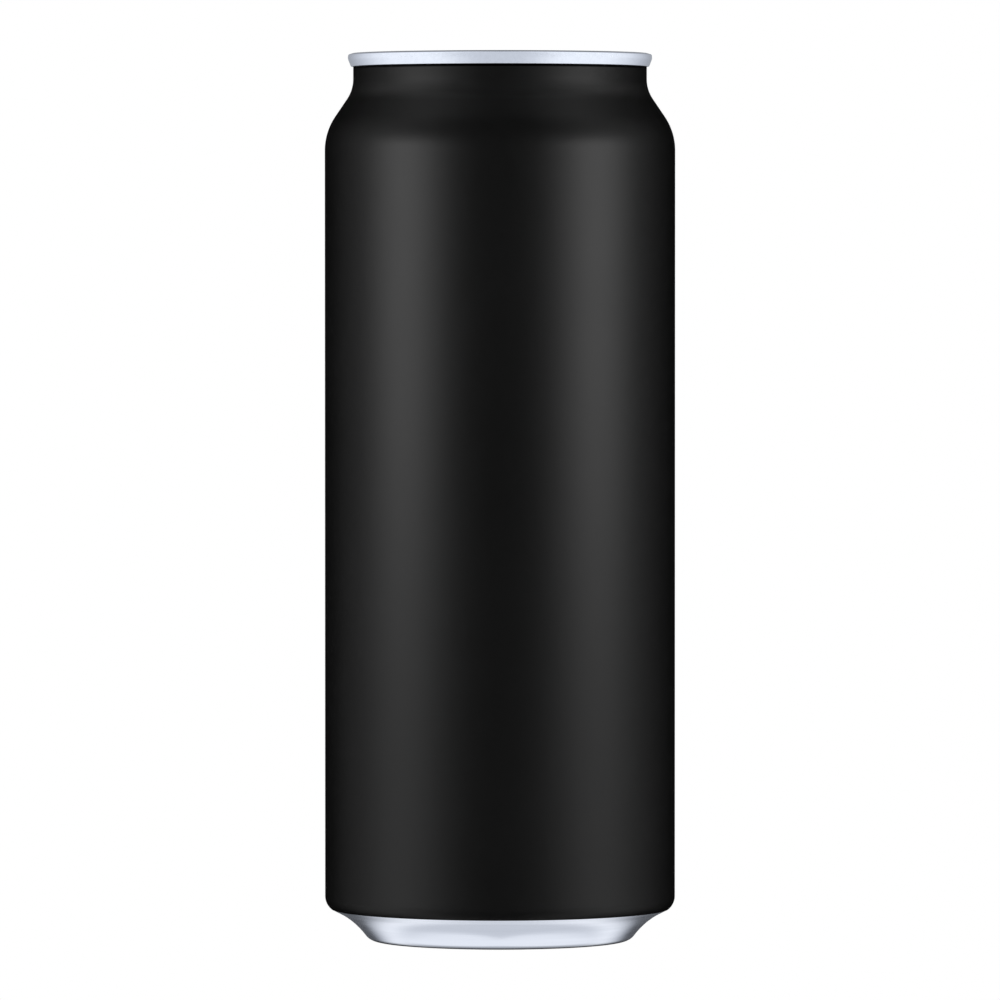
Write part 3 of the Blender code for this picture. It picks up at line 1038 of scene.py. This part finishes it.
def makeFootShade():
    # stands in for the dark strip of floor that the metal foot mirrors
    bpy.ops.mesh.primitive_circle_add(
        vertices=studio["footShadePoints"],
        radius=studio["footShadeOuter"][1] * mm,
        fill_type="NGON",
        location=(0, 0, studio["footShadeHeight"]),
    )
    shade = bpy.context.object
    shade.name = "footShade"
    material, tree, shader, coordinates = startMaterial("footShadeBlack")
    shader.inputs["Base Color"].default_value = (0, 0, 0, 1)
    shader.inputs["Specular IOR Level"].default_value = 0.0
    away = newNode(tree, "ShaderNodeVectorMath", operation="LENGTH")
    tree.links.new(coordinates.outputs["Object"], away.inputs[0])
    inner = fadeNode(tree, away.outputs["Value"], [edge * mm for edge in studio["footShadeInner"]], 0, 1)
    outer = fadeNode(tree, away.outputs["Value"], [edge * mm for edge in studio["footShadeOuter"]], 1, 0)
    tree.links.new(mathNode(tree, "MULTIPLY", inner, outer), shader.inputs["Alpha"])
    shade.data.materials.append(material)
    shade.visible_camera = False
    shade.visible_diffuse = False
    shade.visible_shadow = False


def makeSoftBox(side):
    bpy.ops.mesh.primitive_plane_add(size=1)
    box = bpy.context.object
    box.name = "softBoxLeft" if side < 0 else "softBoxRight"
    azimuth = math.radians(studio["boxAzimuth"])
    towards = Vector((side * math.sin(azimuth), -math.cos(azimuth), 0))
    middle = (studio["boxLow"] + studio["boxHigh"]) / 2
    box.location = towards * studio["boxDistance"] + Vector((0, 0, middle))
    box.rotation_mode = "QUATERNION"
    box.rotation_quaternion = (-towards).to_track_quat("Z", "Y")
    box.scale = (studio["boxWidth"], studio["boxHigh"] - studio["boxLow"], 1)
    material, tree, _, coordinates = startMaterial("softBoxGlow")
    split = newNode(tree, "ShaderNodeSeparateXYZ")
    tree.links.new(coordinates.outputs["Object"], split.inputs[0])
    fade = gaussNode(tree, split.outputs["X"], 0.0, studio["boxSpread"] / studio["boxWidth"])
    glowThrough(tree, mathNode(tree, "MULTIPLY", fade, studio["boxStrength"]))
    box.data.materials.append(material)
    lightOnly(box, [blackCoat])


def makeTent(name, radius, pieces, glowOf, fullTint):
    bpy.ops.mesh.primitive_uv_sphere_add(segments=48, ring_count=24, radius=radius)
    tent = bpy.context.object
    tent.name = name
    material, tree, _, coordinates = startMaterial(name + "Glow")
    material.cycles.emission_sampling = "NONE"   # only reflections need it
    glowThrough(tree, glowOf(tree, *directionNodes(tree, coordinates)), fullTint)
    tent.data.materials.append(material)
    lightOnly(tent, pieces)


def lacquerGlow(tree, azimuth, height, sideways):
    slope = mathNode(tree, "ABSOLUTE", height)
    lean = rangeNode(tree, slope, 0, 1, studio["sideAzimuth"], studio["sideAzimuth"] + studio["sideLean"])
    spread = rangeNode(
        tree, height, *studio["sideSpreadEdge"], studio["sideSpread"], studio["sideSpreadAbove"]
    )
    side = gaussNode(tree, azimuth, lean, spread)
    side = mathNode(tree, "MULTIPLY", side, studio["sideGlow"])
    front = gaussNode(tree, azimuth, 0.0, studio["frontSpread"])
    frontLow, frontHigh = studio["frontGlow"], studio["frontGlow"] * studio["frontAbove"]
    above = rangeNode(tree, height, *studio["frontEdge"], frontLow, frontHigh)
    front = mathNode(tree, "MULTIPLY", front, above)
    # a little more from the left, beside and behind the can
    beside = gaussNode(tree, azimuth, studio["besideAzimuth"], studio["besideSpread"])
    leftward = rangeNode(
        tree, sideways, *studio["besideEdge"], studio["besideLeft"], studio["besideRight"]
    )
    beside = mathNode(tree, "MULTIPLY", beside, leftward)
    lit = mathNode(tree, "ADD", mathNode(tree, "ADD", side, front), beside)
    lit = mathNode(tree, "MULTIPLY", lit, curveNode(tree, height, studio["lacquerLevels"]))
    roomFront, roomBack = studio["roomGlow"], studio["roomGlow"] * studio["roomBehind"]
    behind = rangeNode(tree, azimuth, *studio["roomEdge"], roomFront, roomBack)
    return mathNode(tree, "ADD", lit, behind)


def baseGlow(tree, azimuth, height, sideways):
    ground = fadeNode(tree, height, studio["groundEdge"], studio["groundGlow"], studio["levelGlow"])
    dimmed = fadeNode(tree, azimuth, studio["behindEdge"], 0, 1 - studio["behindShare"])
    dimmed = mathNode(tree, "MULTIPLY", dimmed, fadeNode(tree, height, studio["behindTop"], 1, 0))
    ground = mathNode(tree, "MULTIPLY", ground, mathNode(tree, "SUBTRACT", 1.0, dimmed))
    return mathNode(tree, "ADD", ground, fadeNode(tree, height, studio["skyEdge"], 0, studio["skyGlow"]))


def lidGlow(tree, azimuth, height, sideways):
    side = fadeNode(tree, azimuth, studio["lidFrontEdge"], studio["lidFront"], studio["lidSide"])
    back = fadeNode(tree, azimuth, studio["lidBackEdge"], 1, studio["lidBack"] / studio["lidSide"])
    return mathNode(tree, "MULTIPLY", side, back)


def makeWorld():
    world = bpy.data.worlds.new("studio")
    bpy.context.scene.world = world
    world.use_nodes = True
    tree = world.node_tree
    background = tree.nodes["Background"]
    path = newNode(tree, "ShaderNodeLightPath")
    mirrored = mathNode(tree, "MULTIPLY", path.outputs["Is Glossy Ray"], studio["ambient"])
    light = mathNode(tree, "SUBTRACT", studio["ambient"], mirrored)
    strength = mathNode(tree, "MAXIMUM", light, path.outputs["Is Camera Ray"])
    tree.links.new(strength, background.inputs["Strength"])
    background.inputs["Color"].default_value = (1, 1, 1, 1)


makeFloor()
makeFootShade()
makeSoftBox(-1)
makeSoftBox(1)
makeTent("lacquerTent", studio["lacquerTentRadius"], [blackCoat], lacquerGlow, None)
makeTent("baseTent", studio["baseTentRadius"], [canWall], baseGlow, studio["baseTint"])
makeTent("lidTent", studio["lidTentRadius"], [lidSheet, pullTab], lidGlow, studio["lidTint"])
makeWorld()
bpy.context.scene.view_settings.view_transform = "Standard"
bpy.context.scene.view_settings.look = "None"
print("studio ready")


camera = {
    "distance": 1.712,
    "height": 0.1307,
    "downTilt": 1.583,
    "lens": 326.0,
    "sensorWidth": 36,
    "clip": (0.1, 60),
}


def makeCamera():
    data = bpy.data.cameras.new("view")
    data.lens = camera["lens"]
    data.sensor_width = camera["sensorWidth"]
    data.clip_start, data.clip_end = camera["clip"]
    viewer = bpy.data.objects.new("view", data)
    bpy.context.scene.collection.objects.link(viewer)
    viewer.location = (0, -camera["distance"], camera["height"])
    viewer.rotation_euler = (math.radians(90 - camera["downTilt"]), 0, 0)
    bpy.context.scene.camera = viewer


makeCamera()
print("camera ready")
